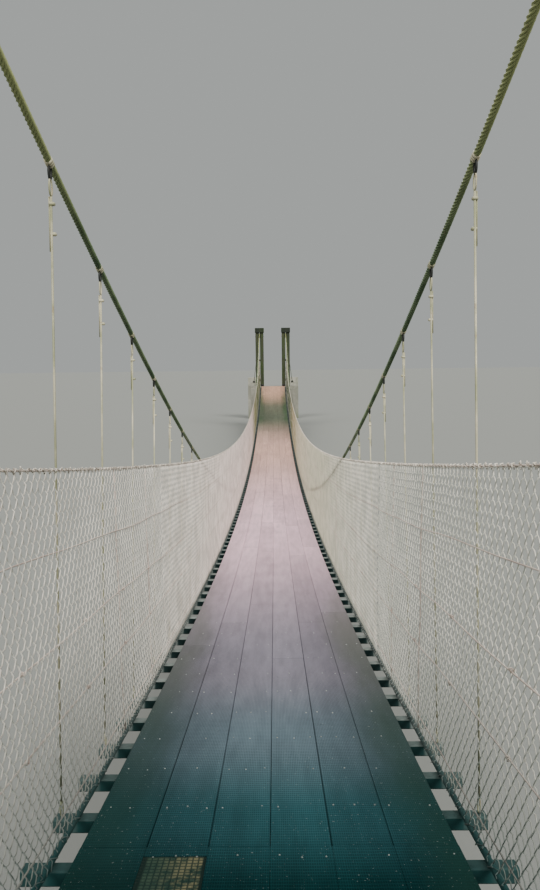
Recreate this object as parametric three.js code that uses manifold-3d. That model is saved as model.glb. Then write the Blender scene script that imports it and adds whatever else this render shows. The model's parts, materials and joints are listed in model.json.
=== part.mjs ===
// Rope suspension footbridge, a 1:2 scale model.
//
// Frame: X runs across the bridge, Y along it and Z up. The origin is on the ground under
// mid-span. "near" is the end at -Y, "far" the end at +Y, "left" is -X and "right" is +X, as
// seen by someone who walks from the near end to the far one.
// Every length below is the real bridge's, in millimetres. The finished group is scaled by
// MODEL_SCALE, so the model comes out in millimetres at half the real size.

import * as THREE from 'three';
import { mergeVertices } from 'three/addons/utils/BufferGeometryUtils.js';
import Module from 'manifold-3d';

const MODEL_SCALE = 1 / 2;

// The gap that touching pieces keep, and the joint between two lengths of deck or mesh.
const CONTACT_GAP = 1;
const SECTION_JOINT = 8;

// Whole bridge
const TOWER_Y = 21300;
const DECK_LEVEL = 2700;
const DECK_SAG = 2000;
const DECK_HALF_LENGTH = 21150;
const SECTION_COUNT = 5;
const STEPS_PER_SECTION = 4;

// Deck and what carries it
const DECK_WIDTH = 1500;
const PLANK_THICKNESS = 40;
const TRANSOM_SPACING = 368;
const TRANSOMS_EACH_WAY = 57;
const TRANSOM_LENGTH = 1910;
const TRANSOM_WIDTH = 65;
const TRANSOM_DEPTH = 60;
const EDGE_BAR_X = 848;
const EDGE_BAR_RADIUS = 14;
const EDGE_BAR_SEAT = 4;

// Side mesh and handrails
const RAIL_X = 848;
const HANDRAIL_HEIGHT = 1545;
const HANDRAIL_RADIUS = 5;
const MESH_WIRE_HEIGHTS = [90, 460, 780, 1180];
const MESH_WIRE_RADIUS = 3;
const MESH_UPRIGHT_RADIUS = 4;
const MESH_UPRIGHTS = 4;

// Main cables and hangers
const CABLE_X_AT_TOWER = 853;
const CABLE_X_AT_MIDSPAN = 886;
const CABLE_RADIUS = 16;
const CABLE_TOP = 3440;
const CABLE_LOW_CLEARANCE = 145;
const HANGER_FOOT_X = 925;
const HANGER_RADIUS = 5;
const HANGER_EVERY = 2;
const HANGER_HEAD_SPACING = 366;
const HANGERS_PER_CABLE_STEP = 2;

// Towers
const POST_WIDTH = 232;
const POST_CHAMFER = 18;
const INNER_POST_X = 708;
const OUTER_POST_X = 998;
const CAP_LENGTH = 380;
const CAP_OVERHANG = 28;
const CAP_HEIGHT = 300;
const CAP_BEVEL = 15;
const CAP_ABOVE_CABLE = 24;
const SADDLE_THICKNESS = 50;
const SADDLE_RADIUS = 350;
const SADDLE_HALF_LENGTH = 150;
const SADDLE_DEPTH = 300;
const SADDLE_STEPS = 6;

// Abutments and anchor blocks, which stand on the level ground below
const ABUTMENT_WIDTH = 2900;
const ABUTMENT_FRONT_Y = 20700;
const ABUTMENT_BACK_Y = 22200;
const ABUTMENT_DECK_GAP = 15;
const ANCHOR_X = 1460;
const ANCHOR_WIDTH = 900;
const ANCHOR_LENGTH = 1700;
const ANCHOR_TOP = 3100;
const ANCHOR_FACE = 700;

const wasm = await Module();
wasm.setup();

const materials = {
  decking: new THREE.MeshStandardMaterial({ color: 0x7d7a80, roughness: 0.85, metalness: 0 }),
  galvanised: new THREE.MeshStandardMaterial({ color: 0x9fa39d, roughness: 0.5, metalness: 0.8 }),
  wire: new THREE.MeshStandardMaterial({ color: 0xc3c0b0, roughness: 0.5, metalness: 0.7 }),
  rope: new THREE.MeshStandardMaterial({ color: 0x555b4c, roughness: 0.6, metalness: 0.6 }),
  timber: new THREE.MeshStandardMaterial({ color: 0x5b5f3a, roughness: 0.9, metalness: 0 }),
  cap: new THREE.MeshStandardMaterial({ color: 0x2f312c, roughness: 0.7, metalness: 0.3 }),
  concrete: new THREE.MeshStandardMaterial({ color: 0x9b978b, roughness: 0.95, metalness: 0 }),
};

// Closed solids: from a geometry to a solid, and from several solids to one geometry.
function solidOf(geometry) {
  const bare = geometry.clone();
  bare.deleteAttribute('normal');
  bare.deleteAttribute('uv');
  const merged = mergeVertices(bare, 1e-3);
  return new wasm.Manifold(new wasm.Mesh({
    numProp: 3,
    vertProperties: merged.attributes.position.array,
    triVerts: new Uint32Array(merged.index.array),
  }));
}

function joined(geometries) {
  const whole = geometries.map(solidOf).reduce((sum, next) => sum.add(next));
  const mesh = whole.getMesh();
  const geometry = new THREE.BufferGeometry();
  geometry.setAttribute('position', new THREE.BufferAttribute(mesh.vertProperties, 3));
  geometry.setIndex(new THREE.BufferAttribute(mesh.triVerts, 1));
  geometry.computeVertexNormals();
  return geometry;
}

// A curve that an extrusion follows exactly from point to point of its list.
class PointCurve extends THREE.Curve {
  constructor(points) {
    super();
    this.points = points;
  }

  getPoint(t) {
    const last = this.points.length - 1;
    const index = Math.min(Math.floor(t * last + 1e-6), last - 1);
    return this.points[index].clone().lerp(this.points[index + 1], t * last - index);
  }

  getPointAt(t) {
    return this.getPoint(t);
  }

  getTangentAt(t) {
    const last = this.points.length - 1;
    const index = Math.round(t * last);
    const before = this.points[Math.max(index - 1, 0)];
    const after = this.points[Math.min(index + 1, last)];
    return after.clone().sub(before).normalize();
  }
}

// A round rope or bar through the points.
function ropeGeometry(points, radius, sides) {
  const outline = [];
  for (let i = 0; i < sides; i += 1) {
    const angle = (i + 0.5) * 2 * Math.PI / sides;
    outline.push(new THREE.Vector2(radius * Math.cos(angle), radius * Math.sin(angle)));
  }
  return new THREE.ExtrudeGeometry(new THREE.Shape(outline), {
    steps: points.length - 1,
    extrudePath: new PointCurve(points),
    bevelEnabled: false,
  });
}

// A profile drawn in Y and Z, given a thickness across the bridge about x.
function acrossBridge(profile, x, width) {
  const geometry = new THREE.ExtrudeGeometry(new THREE.Shape(profile), {
    depth: width,
    bevelEnabled: false,
  });
  geometry.rotateX(Math.PI / 2);
  geometry.rotateZ(Math.PI / 2);
  geometry.translate(x - width / 2, 0, 0);
  return geometry;
}

// Heights along the bridge. The deck is straight between stations, as its pieces are.
const stationSpacing = 2 * DECK_HALF_LENGTH / (SECTION_COUNT * STEPS_PER_SECTION);

function deckCurve(y) {
  return DECK_LEVEL - DECK_SAG * (1 - (y / DECK_HALF_LENGTH) ** 2);
}

function deckHeight(y) {
  const before = Math.floor(y / stationSpacing + 1e-6) * stationSpacing;
  const share = (y - before) / stationSpacing;
  return deckCurve(before) * (1 - share) + deckCurve(before + stationSpacing) * share;
}

function deckSlope(y) {
  return Math.atan2(deckHeight(y + 1) - deckHeight(y - 1), 2);
}

const cableTopHeight = DECK_LEVEL + CABLE_TOP;
const cableLowHeight = DECK_LEVEL - DECK_SAG + CABLE_LOW_CLEARANCE;
const cableTowerAngle = Math.atan(2 * (cableTopHeight - cableLowHeight) / TOWER_Y);
const saddleReach = SADDLE_RADIUS * Math.sin(cableTowerAngle);
const saddleDrop = SADDLE_RADIUS * (1 - Math.cos(cableTowerAngle));

function cableHeight(y) {
  const rise = cableTopHeight - saddleDrop - cableLowHeight;
  return cableLowHeight + rise * (y / (TOWER_Y - saddleReach)) ** 2;
}

// The cables stay outside the mesh along the deck, and draw in above it to the towers.
function cableX(y) {
  const spread = CABLE_X_AT_MIDSPAN - CABLE_X_AT_TOWER;
  return CABLE_X_AT_MIDSPAN - spread * Math.min(Math.abs(y) / (TOWER_Y - saddleReach), 1) ** 4;
}

// The backstay goes down at the angle of the hanging cable, and meets the middle of the anchor
// block's sloping face squarely. Both points are Y and Z of the far end.
const anchorFaceHeight = ANCHOR_TOP - ANCHOR_FACE / 2 * Math.cos(cableTowerAngle);
const anchorFaceCentre = new THREE.Vector2(
  TOWER_Y + saddleReach
    + (cableTopHeight - saddleDrop - anchorFaceHeight) / Math.tan(cableTowerAngle),
  anchorFaceHeight,
);
const backstayEnd = new THREE.Vector2(
  anchorFaceCentre.x - 2 * CONTACT_GAP * Math.cos(cableTowerAngle),
  anchorFaceCentre.y + 2 * CONTACT_GAP * Math.sin(cableTowerAngle),
);

// The stations of one section of deck, from its near end to its far end.
function sectionStations(section) {
  const length = 2 * DECK_HALF_LENGTH / SECTION_COUNT;
  const start = -DECK_HALF_LENGTH + section * length;
  const stations = [];
  for (let step = 0; step <= STEPS_PER_SECTION; step += 1) {
    stations.push(start + step * stationSpacing);
  }
  if (section > 0) {
    stations[0] += SECTION_JOINT / 2;
  }
  if (section < SECTION_COUNT - 1) {
    stations[STEPS_PER_SECTION] -= SECTION_JOINT / 2;
  }
  return stations;
}

function alongDeck(x, height, stations) {
  return stations.map((y) => new THREE.Vector3(x, y, deckHeight(y) + height));
}

// One section of the deck: a plank layer that follows the sag.
function deckGeometry(stations) {
  const top = stations.map((y) => new THREE.Vector2(y, deckHeight(y)));
  const bottom = stations.map((y) => new THREE.Vector2(y, deckHeight(y) - PLANK_THICKNESS));
  return acrossBridge([...bottom, ...top.reverse()], 0, DECK_WIDTH);
}

const transomPositions = [];
for (let i = -TRANSOMS_EACH_WAY; i <= TRANSOMS_EACH_WAY; i += 1) {
  transomPositions.push(i * TRANSOM_SPACING);
}

const transomTopDrop = PLANK_THICKNESS + CONTACT_GAP;

function transomGeometry(y) {
  const geometry = new THREE.BoxGeometry(TRANSOM_LENGTH, TRANSOM_WIDTH, TRANSOM_DEPTH);
  geometry.translate(0, 0, -TRANSOM_DEPTH / 2);
  geometry.rotateX(deckSlope(y));
  geometry.translate(0, y, deckHeight(y) - transomTopDrop);
  return geometry;
}

// One section of the frame under the deck: its transoms, joined by an edge bar on each side.
function deckFrameGeometry(stations) {
  const first = stations[0];
  const last = stations[stations.length - 1];
  const transoms = transomPositions.filter((y) => y > first && y < last).map(transomGeometry);
  const barHeight = EDGE_BAR_RADIUS - EDGE_BAR_SEAT - transomTopDrop;
  const bars = [-EDGE_BAR_X, EDGE_BAR_X].map((x) => (
    ropeGeometry(alongDeck(x, barHeight, stations), EDGE_BAR_RADIUS, 6)
  ));
  return joined([...bars, ...transoms]);
}

// One mesh panel: the line wires that stretch the mesh, held by uprights between the edge
// bar and the handrail.
function meshPanelGeometry(side, stations) {
  const x = side * RAIL_X;
  const wires = MESH_WIRE_HEIGHTS.map((height) => (
    ropeGeometry(alongDeck(x, height, stations), MESH_WIRE_RADIUS, 4)
  ));
  const first = stations[0] + 2 * MESH_UPRIGHT_RADIUS;
  const last = stations[stations.length - 1] - 2 * MESH_UPRIGHT_RADIUS;
  const lowest = 2 * EDGE_BAR_RADIUS - EDGE_BAR_SEAT - transomTopDrop + 2 * CONTACT_GAP;
  const highest = HANDRAIL_HEIGHT - HANDRAIL_RADIUS - 2 * CONTACT_GAP;
  const uprights = [];
  for (let i = 0; i < MESH_UPRIGHTS; i += 1) {
    const y = first + (last - first) * i / (MESH_UPRIGHTS - 1);
    const ends = [lowest, highest].map((height) => (
      new THREE.Vector3(x, y, deckHeight(y) + height)
    ));
    uprights.push(ropeGeometry(ends, MESH_UPRIGHT_RADIUS, 4));
  }
  return joined([...wires, ...uprights]);
}

// A handrail cable from post to post, over the stations of all the sections.
function handrailGeometry(side) {
  const postFace = TOWER_Y - POST_WIDTH / 2 - CONTACT_GAP;
  const stations = [-postFace];
  for (let i = 0; i <= SECTION_COUNT * STEPS_PER_SECTION; i += 1) {
    stations.push(i * stationSpacing - DECK_HALF_LENGTH);
  }
  stations.push(postFace);
  return ropeGeometry(alongDeck(side * RAIL_X, HANDRAIL_HEIGHT, stations), HANDRAIL_RADIUS, 6);
}

// The route of a main cable from mid-span to its anchor block: the hanging curve up to the
// saddle, over the saddle, and the backstay, which splays out to the block.
function halfCableRoute(side) {
  const points = [];
  const spacing = HANGER_HEAD_SPACING * HANGER_EVERY * HANGERS_PER_CABLE_STEP;
  const saddleStart = TOWER_Y - saddleReach;
  for (let y = 0; y < saddleStart - spacing / 2; y += spacing) {
    points.push(new THREE.Vector3(side * cableX(y), y, cableHeight(y)));
  }
  for (let i = 0; i <= SADDLE_STEPS; i += 1) {
    const angle = cableTowerAngle * (2 * i / SADDLE_STEPS - 1);
    const y = TOWER_Y + SADDLE_RADIUS * Math.sin(angle);
    const z = cableTopHeight - SADDLE_RADIUS * (1 - Math.cos(angle));
    points.push(new THREE.Vector3(side * CABLE_X_AT_TOWER, y, z));
  }
  points.push(new THREE.Vector3(side * ANCHOR_X, backstayEnd.x, backstayEnd.y));
  return points;
}

// A main cable from anchor block to anchor block, with its hangers, which lean out to the ends
// of the transoms.
function mainCableGeometry(side) {
  const farHalf = halfCableRoute(side);
  const nearHalf = farHalf.slice(1).reverse().map((p) => new THREE.Vector3(p.x, -p.y, p.z));
  const cable = ropeGeometry([...nearHalf, ...farHalf], CABLE_RADIUS, 8);
  const hangers = [];
  for (let i = -TRANSOMS_EACH_WAY + 1; i < TRANSOMS_EACH_WAY; i += HANGER_EVERY) {
    const footY = i * TRANSOM_SPACING;
    const headY = i * HANGER_HEAD_SPACING;
    const foot = deckHeight(footY) - transomTopDrop + 2 * CONTACT_GAP;
    const ends = [
      new THREE.Vector3(side * HANGER_FOOT_X, footY, foot),
      new THREE.Vector3(side * cableX(headY), headY, cableHeight(headY)),
    ];
    hangers.push(ropeGeometry(ends, HANGER_RADIUS, 4));
  }
  return joined([cable, ...hangers]);
}

// Towers
const capBottom = cableTopHeight + CABLE_RADIUS + CAP_ABOVE_CABLE;

function postGeometry() {
  const half = POST_WIDTH / 2;
  const cut = half - POST_CHAMFER;
  const outline = [
    [half, -cut], [half, cut], [cut, half], [-cut, half],
    [-half, cut], [-half, -cut], [-cut, -half], [cut, -half],
  ].map(([x, y]) => new THREE.Vector2(x, y));
  const height = capBottom - DECK_LEVEL - 2 * CONTACT_GAP;
  return new THREE.ExtrudeGeometry(new THREE.Shape(outline), {
    depth: height,
    bevelEnabled: false,
  });
}

function capGeometry() {
  const innerEdge = INNER_POST_X - POST_WIDTH / 2 - CAP_OVERHANG;
  const outerEdge = OUTER_POST_X + POST_WIDTH / 2 + CAP_OVERHANG;
  const halfX = (outerEdge - innerEdge) / 2 - CAP_BEVEL;
  const halfY = CAP_LENGTH / 2 - CAP_BEVEL;
  const outline = [[-halfX, -halfY], [halfX, -halfY], [halfX, halfY], [-halfX, halfY]];
  const shape = new THREE.Shape(outline.map(([x, y]) => new THREE.Vector2(x, y)));
  const geometry = new THREE.ExtrudeGeometry(shape, {
    depth: CAP_HEIGHT - 2 * CAP_BEVEL,
    bevelThickness: CAP_BEVEL,
    bevelSize: CAP_BEVEL,
    bevelSegments: 1,
  });
  geometry.translate(0, 0, CAP_BEVEL);
  return geometry;
}

// The saddle stands between the two posts of a pair, and the cable rests on its round top.
function saddleGeometry() {
  const seat = SADDLE_RADIUS - CABLE_RADIUS - CONTACT_GAP;
  const profile = [];
  const reach = Math.asin(SADDLE_HALF_LENGTH / seat);
  for (let i = 0; i <= SADDLE_STEPS; i += 1) {
    const angle = reach * (1 - 2 * i / SADDLE_STEPS);
    profile.push(new THREE.Vector2(seat * Math.sin(angle), seat * Math.cos(angle) - SADDLE_RADIUS));
  }
  profile.push(new THREE.Vector2(-SADDLE_HALF_LENGTH, -SADDLE_DEPTH));
  profile.push(new THREE.Vector2(SADDLE_HALF_LENGTH, -SADDLE_DEPTH));
  return acrossBridge(profile, 0, SADDLE_THICKNESS);
}

// An abutment of the far end, with a lower shelf on which the last transom bears.
function abutmentGeometry() {
  const bearing = TRANSOMS_EACH_WAY * TRANSOM_SPACING;
  const slope = deckSlope(bearing);
  const transomFoot = TRANSOM_DEPTH * Math.cos(slope) + TRANSOM_WIDTH / 2 * Math.sin(slope);
  const shelf = deckHeight(bearing) - transomTopDrop - transomFoot - CONTACT_GAP;
  const step = DECK_HALF_LENGTH + ABUTMENT_DECK_GAP;
  const profile = [
    [ABUTMENT_FRONT_Y, 0],
    [ABUTMENT_BACK_Y, 0],
    [ABUTMENT_BACK_Y, DECK_LEVEL],
    [step, DECK_LEVEL],
    [step, shelf],
    [ABUTMENT_FRONT_Y, shelf],
  ].map(([y, z]) => new THREE.Vector2(y, z));
  return acrossBridge(profile, 0, ABUTMENT_WIDTH);
}

// An anchor block of the far end, with its sloping face towards the tower.
function anchorBlockGeometry() {
  const halfRun = ANCHOR_FACE / 2 * Math.sin(cableTowerAngle);
  const halfRise = ANCHOR_FACE / 2 * Math.cos(cableTowerAngle);
  const front = anchorFaceCentre.x - halfRun;
  const profile = [
    [front, 0],
    [front + ANCHOR_LENGTH, 0],
    [front + ANCHOR_LENGTH, ANCHOR_TOP],
    [anchorFaceCentre.x + halfRun, ANCHOR_TOP],
    [front, anchorFaceCentre.y - halfRise],
  ].map(([y, z]) => new THREE.Vector2(y, z));
  return acrossBridge(profile, 0, ANCHOR_WIDTH);
}

const bridge = new THREE.Group();

function addPiece(name, geometry, material, x = 0, y = 0, z = 0, turn = 0) {
  const mesh = new THREE.Mesh(geometry, material.clone());
  mesh.name = name;
  mesh.position.set(x, y, z);
  mesh.rotation.z = turn;
  bridge.add(mesh);
}

const SIDES = [['left', -1], ['right', 1]];
const ENDS = [['near', -1], ['far', 1]];

for (let section = 0; section < SECTION_COUNT; section += 1) {
  const stations = sectionStations(section);
  const number = section + 1;
  addPiece(`deck_section_${number}`, deckGeometry(stations), materials.decking);
  addPiece(`deck_frame_${number}`, deckFrameGeometry(stations), materials.galvanised);
  for (const [sideName, side] of SIDES) {
    const name = `mesh_panel_${sideName}_${number}`;
    addPiece(name, meshPanelGeometry(side, stations), materials.wire);
  }
}

for (const [sideName, side] of SIDES) {
  addPiece(`main_cable_${sideName}`, mainCableGeometry(side), materials.rope);
  addPiece(`handrail_cable_${sideName}`, handrailGeometry(side), materials.wire);
}

for (const [endName, end] of ENDS) {
  const turn = end < 0 ? Math.PI : 0;
  addPiece(`${endName}_abutment`, abutmentGeometry(), materials.concrete, 0, 0, 0, turn);
  for (const [sideName, side] of SIDES) {
    const tower = `${endName}_${sideName}`;
    const y = end * TOWER_Y;
    const foot = DECK_LEVEL + CONTACT_GAP;
    const capX = side * (INNER_POST_X + OUTER_POST_X) / 2;
    const anchorX = side * ANCHOR_X;
    const post = postGeometry();
    addPiece(`${tower}_inner_post`, post, materials.timber, side * INNER_POST_X, y, foot);
    addPiece(`${tower}_outer_post`, post, materials.timber, side * OUTER_POST_X, y, foot);
    addPiece(`${tower}_post_cap`, capGeometry(), materials.cap, capX, y, capBottom);
    addPiece(`${tower}_saddle`, saddleGeometry(), materials.cap, capX, y, cableTopHeight);
    addPiece(`${tower}_anchor_block`, anchorBlockGeometry(), materials.concrete, anchorX, 0, 0, turn);
  }
}

bridge.scale.setScalar(MODEL_SCALE);

export default bridge;
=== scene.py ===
# Looks of the rope suspension footbridge.
#
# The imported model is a 1:2 scale model. Lengths here are the real bridge's, in metres, and
# each mesh is multiplied by SCALE when it is made. The frame is the model's: X across the
# bridge, Y along it, Z up, the origin at floor level under mid-span.
import json
import math

import bpy
import numpy as np
from mathutils import Euler, Matrix, Vector


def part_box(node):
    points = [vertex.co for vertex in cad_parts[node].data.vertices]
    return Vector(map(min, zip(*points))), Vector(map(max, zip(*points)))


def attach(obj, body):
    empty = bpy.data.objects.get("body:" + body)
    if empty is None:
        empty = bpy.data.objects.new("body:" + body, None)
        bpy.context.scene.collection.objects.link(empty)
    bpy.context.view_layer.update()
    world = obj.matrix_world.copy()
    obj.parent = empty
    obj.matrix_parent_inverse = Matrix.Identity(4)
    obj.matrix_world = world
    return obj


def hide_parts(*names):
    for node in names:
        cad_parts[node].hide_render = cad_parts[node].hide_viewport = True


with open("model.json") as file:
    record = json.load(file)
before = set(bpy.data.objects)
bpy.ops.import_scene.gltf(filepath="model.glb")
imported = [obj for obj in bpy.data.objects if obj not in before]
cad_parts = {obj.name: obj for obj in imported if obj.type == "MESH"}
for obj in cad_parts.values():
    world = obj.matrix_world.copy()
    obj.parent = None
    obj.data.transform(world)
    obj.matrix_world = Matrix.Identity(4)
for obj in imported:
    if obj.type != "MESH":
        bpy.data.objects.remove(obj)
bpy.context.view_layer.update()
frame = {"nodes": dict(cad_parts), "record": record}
SCALE = frame["record"]["size"]["model_scale_k"]
rng = np.random.default_rng(20260)


def real_box(node):
    """Lowest and highest corners of a node, in the real bridge's metres."""
    low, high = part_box(node)
    return np.array(low) / SCALE, np.array(high) / SCALE


# Sizes read from the frame
LEVEL = real_box("near_abutment")[1][2]
HALF_LENGTH = -real_box("deck_section_1")[0][1]
DECK_WIDTH = 2 * real_box("deck_section_1")[1][0]
PLANK_THICKNESS = 0.040
SAG = LEVEL - real_box("deck_section_3")[0][2] - PLANK_THICKNESS
TOWER_Y = sum(real_box("far_left_inner_post"))[1] / 2
POST_FACE = real_box("far_left_inner_post")[0][1]
POST_WIDTH = np.ptp(np.array(real_box("far_left_inner_post")), axis=0)[0]
RAIL_X = sum(real_box("mesh_panel_right_1"))[0] / 2
CABLE_X_AT_TOWER = sum(real_box("far_right_saddle"))[0] / 2
BACKSTAY_Y = real_box("main_cable_right")[1][1]
ANCHOR_X = sum(real_box("far_right_anchor_block"))[0] / 2
CAP_BOTTOM = real_box("far_right_post_cap")[0][2]

# Deck and frame
SECTIONS = 5
SECTION_LENGTH = 2 * HALF_LENGTH / SECTIONS
LANE_EDGES = (-DECK_WIDTH / 2, -0.487, -0.241, 0.003, 0.249, 0.492, DECK_WIDTH / 2)
LANES = len(LANE_EDGES) - 1
SEAMS = (0.0, 0.0036, 0.0036, 0.0020, 0.0032, 0.0026, 0.0)
MAT_SEAM = 0.0010
GRID_ACROSS = 0.0089
GRID_ALONG = 0.0186
PATCH_GRID_ACROSS = 0.0224
PATCH_LANE = 1
PATCH_NEAR_Y = -20.35
PATCH_FAR_Y = -19.505
MAT_FAR_Y = -19.44
TRANSOM_SPACING = 0.368
TRANSOMS_EACH_WAY = 57
TRANSOM_WIDTH = 0.065
TRANSOM_DEPTH = 0.060
TRANSOM_LENGTH = 1.910
TRANSOM_GAP = 0.001
EDGE_BAR_RADIUS = 0.014

# Sides
HANDRAIL_HEIGHT = 1.545
HANDRAIL_RADIUS = 0.0058
LINE_WIRES = ((0.09, 0.0), (0.50, 0.055), (0.825, 0.055), (1.18, 0.0))
LINE_DIP_REACH = 2.8
LINE_WIRE_RADIUS = 0.0032
RAIL_DIP = 0.040
RAIL_DIP_REACH = 5.5
MESH_COLUMN = 0.0295
MESH_ROW = 0.0445
MESH_WIRE_RADIUS = 0.0027
MESH_BOTTOM = -0.012
MESH_RIDGE = 0.0050
CLOSE_TO_Y = -16.8
TIES_FROM_Y = 14.0
SEAM_PLACES = (-21.12, -18.25, -17.40, -15.40, *np.arange(-13.3, 20.0, 2.1), 21.12)

# Main cables and hangers
CABLE_X_AT_MIDSPAN = 0.886
CABLE_RADIUS = 0.016
CABLE_TOP = 3.44
CABLE_LOW_CLEARANCE = 0.145
SADDLE_RADIUS = 0.35
HANGER_FOOT_X = 0.925
HANGER_RADIUS = 0.005
HANGER_EVERY = 2
HANGER_HEAD_SPACING = 0.366
STRAND_SPACING = 0.022
ROPE_STRANDS = 6
ROPE_FINE_STEP = 0.012
ROPE_COARSE = 10
ROPE_CLOSE_HANGERS = (-56, -42)

# Deck colours by their place along the real bridge, from the near end to the far end. Painted shade
# makes the near end dark teal and the stretch from 12 m to 15 m dark grey-green
DECK_COLORS_AND_SHADE = (
    (-19.8, (0.000, 0.025, 0.026)),
    (-19.2, (0.024, 0.084, 0.098)),
    (-18.4, (0.105, 0.148, 0.178)),
    (-17.2, (0.212, 0.200, 0.244)),
    (-10.5, (0.730, 0.505, 0.585)),
    (4.5, (0.600, 0.385, 0.325)),
    (12.4, (0.098, 0.113, 0.080)),
    (15.0, (0.115, 0.120, 0.086)),
    (19.6, (0.500, 0.312, 0.225)),
)
# Colours of the deck's moss, pits, specks and seams. The second moss and the second seam colour, and the
# metal colour last, are painted shade: the teal-black that they take at the near end
MOSS_GREEN = (0.13, 0.135, 0.105)
MOSS_IN_SHADE = (0.012, 0.040, 0.032)
MOSS_FAR = (0.040, 0.080, 0.038)
PIT_DARK = (0.010, 0.030, 0.030)
SPECK_PALE = (0.38, 0.42, 0.40)
SEAM_DARK = (0.008, 0.012, 0.013)
SEAM_IN_SHADE = (0.001, 0.018, 0.019)
METAL_IN_SHADE = (0.012, 0.045, 0.045)

# Light colours of the mesh, by the same places. Their dark olive towards the far end is painted shade
LEFT_MESH_COLORS = (
    (-18.0, (0.90, 0.84, 0.76)),
    (-8.0, (0.96, 0.82, 0.77)),
    (3.0, (0.98, 0.80, 0.76)),
    (9.0, (0.27, 0.26, 0.11)),
    (14.0, (0.12, 0.15, 0.045)),
)
RIGHT_MESH_COLORS = (
    (-18.0, (0.86, 0.82, 0.74)),
    (-10.0, (0.66, 0.62, 0.48)),
    (-1.0, (0.66, 0.58, 0.44)),
    (5.0, (0.42, 0.34, 0.19)),
    (10.0, (0.12, 0.14, 0.07)),
    (14.0, (0.050, 0.080, 0.035)),
)

# Camera, found from the photo: seen from between the near posts at eye height
EYE_ABOVE_LEVEL = 1.591
EYE_BEHIND_TOWER = 0.50
EYE_SIDE = 0.037
PITCH_DEG = 7.267
YAW_DEG = 0.377
ROLL_DEG = 0.674
FOCAL_PIXELS = 652
PHOTO_HEIGHT = 890
SENSOR_MM = 36


# Curves of the bridge
def deck_height(y):
    return LEVEL - SAG * (1 - (np.asarray(y) / HALF_LENGTH) ** 2)


def deck_slope(y):
    return 2 * SAG * np.asarray(y) / HALF_LENGTH ** 2


def edge_bar_height(y):
    """Middle of the bars that lie on the transoms along the deck's edges."""
    return deck_height(y) - PLANK_THICKNESS - TRANSOM_GAP + EDGE_BAR_RADIUS


def end_dip(y, depth, reach):
    """How far a wire drops towards the towers, over the last reach metres of the deck."""
    share = np.clip(1 - (HALF_LENGTH - np.abs(np.asarray(y))) / reach, 0, 1)
    return depth * share ** 2 * (3 - 2 * share)


def handrail_height(y):
    return deck_height(y) + HANDRAIL_HEIGHT - end_dip(y, RAIL_DIP, RAIL_DIP_REACH)


def between_posts(gap):
    """Near and far ends of what runs between the towers' posts with a gap to them."""
    return -POST_FACE + gap, POST_FACE - gap


cable_low = LEVEL - SAG + CABLE_LOW_CLEARANCE
cable_high = LEVEL + CABLE_TOP
tower_angle = math.atan(2 * (cable_high - cable_low) / TOWER_Y)
saddle_drop = SADDLE_RADIUS * (1 - math.cos(tower_angle))
hang_y = TOWER_Y - SADDLE_RADIUS * math.sin(tower_angle)
cable_rise = cable_high - saddle_drop - cable_low


def cable_height(y):
    return cable_low + cable_rise * (np.asarray(y) / hang_y) ** 2


def cable_x(y):
    """The cables stay outside the mesh along the deck, and draw in above it to the towers."""
    share = np.clip(np.abs(np.asarray(y)) / hang_y, 0, 1)
    return CABLE_X_AT_MIDSPAN - (CABLE_X_AT_MIDSPAN - CABLE_X_AT_TOWER) * share ** 4


def cable_route(side, step):
    """Points of a main cable from its near end to its far end."""
    ys = np.linspace(0, hang_y, int(hang_y / step) + 1)
    half = [(side * x, y, z) for x, y, z in zip(cable_x(ys), ys, cable_height(ys))]
    arc_steps = max(int(2 * SADDLE_RADIUS * tower_angle / step), 8)
    for i in range(1, arc_steps + 1):
        angle = tower_angle * (2 * i / arc_steps - 1)
        y = TOWER_Y + SADDLE_RADIUS * math.sin(angle)
        half.append((side * CABLE_X_AT_TOWER, y, cable_high - SADDLE_RADIUS * (1 - math.cos(angle))))
    leave = np.array(half[-1])
    run = BACKSTAY_Y - leave[1] - CABLE_RADIUS * math.sin(tower_angle)
    end = np.array((side * ANCHOR_X, leave[1] + run, leave[2] - run * math.tan(tower_angle)))
    count = int(np.linalg.norm(end - leave) / step)
    half += [tuple(leave + (end - leave) * i / count) for i in range(1, count + 1)]
    half = np.array(half)
    near = half[1:][::-1] * (1, -1, 1)
    return np.vstack([near, half])


# Mesh making
def places(x, y, z):
    """Points from their places on the three axes, each a number or an array."""
    return np.stack(np.broadcast_arrays(x, y, z), -1)


class MeshBuilder:
    """Collects vertices and faces, and turns them into one object."""

    def __init__(self):
        self.points = []
        self.faces = []
        self.tones = []
        self.count = 0

    def add(self, points, faces, tone=0.5):
        points = np.asarray(points, float).reshape(-1, 3)
        self.points.append(points)
        self.faces += [np.asarray(f) + self.count for f in faces if len(f)]
        self.tones.append(np.full(len(points), tone) if np.isscalar(tone) else np.asarray(tone))
        self.count += len(points)

    def build(self, name, material, slot, smooth=True):
        points = np.vstack(self.points) * SCALE
        mesh = bpy.data.meshes.new(name)
        mesh.vertices.add(len(points))
        mesh.vertices.foreach_set("co", points.astype(np.float32).ravel())
        corners = np.concatenate([f.ravel() for f in self.faces]).astype(np.int32)
        sizes = np.concatenate([np.full(len(f), f.shape[1]) for f in self.faces])
        starts = np.concatenate([[0], np.cumsum(sizes)[:-1]]).astype(np.int32)
        mesh.loops.add(len(corners))
        mesh.loops.foreach_set("vertex_index", corners)
        mesh.polygons.add(len(sizes))
        mesh.polygons.foreach_set("loop_start", starts)
        mesh.polygons.foreach_set("use_smooth", np.full(len(sizes), smooth))
        tone = mesh.attributes.new("tone", "FLOAT", "POINT")
        tone.data.foreach_set("value", np.concatenate(self.tones).astype(np.float32))
        mesh.update(calc_edges=True)
        mesh.validate()
        piece = bpy.data.objects.new(name, mesh)
        bpy.context.scene.collection.objects.link(piece)
        piece.data.materials.append(material)
        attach(piece, "root")
        return piece


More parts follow.
